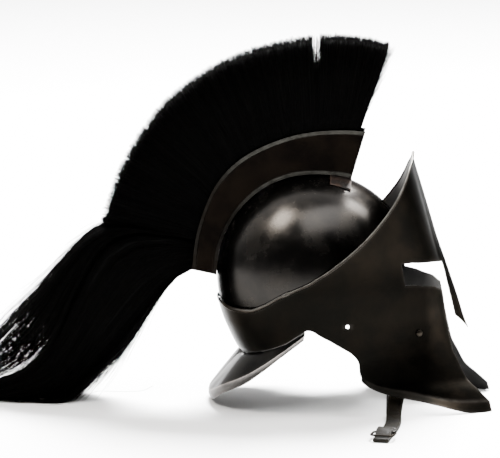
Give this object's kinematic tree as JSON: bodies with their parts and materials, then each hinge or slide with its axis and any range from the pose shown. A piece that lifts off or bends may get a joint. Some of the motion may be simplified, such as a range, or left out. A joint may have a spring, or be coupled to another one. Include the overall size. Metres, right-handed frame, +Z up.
{
  "type": "crested hoplite helmet",
  "caption": "Black steel hoplite helmet of the Corinthian kind with a fore-and-aft crest box, stiff hair fan, long loose hair tail and buckled chin strap.",
  "frame": {"origin": "centre of the bounding box on the surface that the helmet stands on", "axes": "+X towards the helmet's front, +Y towards its left side, +Z up"},
  "size_m": [0.6688, 0.3306, 0.4426],
  "materials": {
    "dome_steel": "satin black",
    "face_steel": "satin black",
    "rim_steel": "worn satin",
    "guard_steel": "satin black",
    "crest_steel": "matte black",
    "saddle_brown": "matte brown",
    "brush_hair": "matte black hair",
    "tail_hair": "matte black hair",
    "strap_leather": "worn olive brown",
    "fitting_steel": "satin black"
  },
  "bodies": {
    "root": {"skull_bowl": "dome_steel", "face_plate": "face_steel", "brow_rim": "rim_steel", "neck_guard": "guard_steel", "crest_box": "crest_steel", "crest_saddle": "saddle_brown", "plume_brush": "brush_hair", "plume_tail": "tail_hair", "chin_strap_near": "strap_leather", "chin_strap_far": "strap_leather", "strap_buckle": "fitting_steel", "strap_rivet_near": "fitting_steel", "strap_rivet_far": "fitting_steel"}
  },
  "joints": []
}
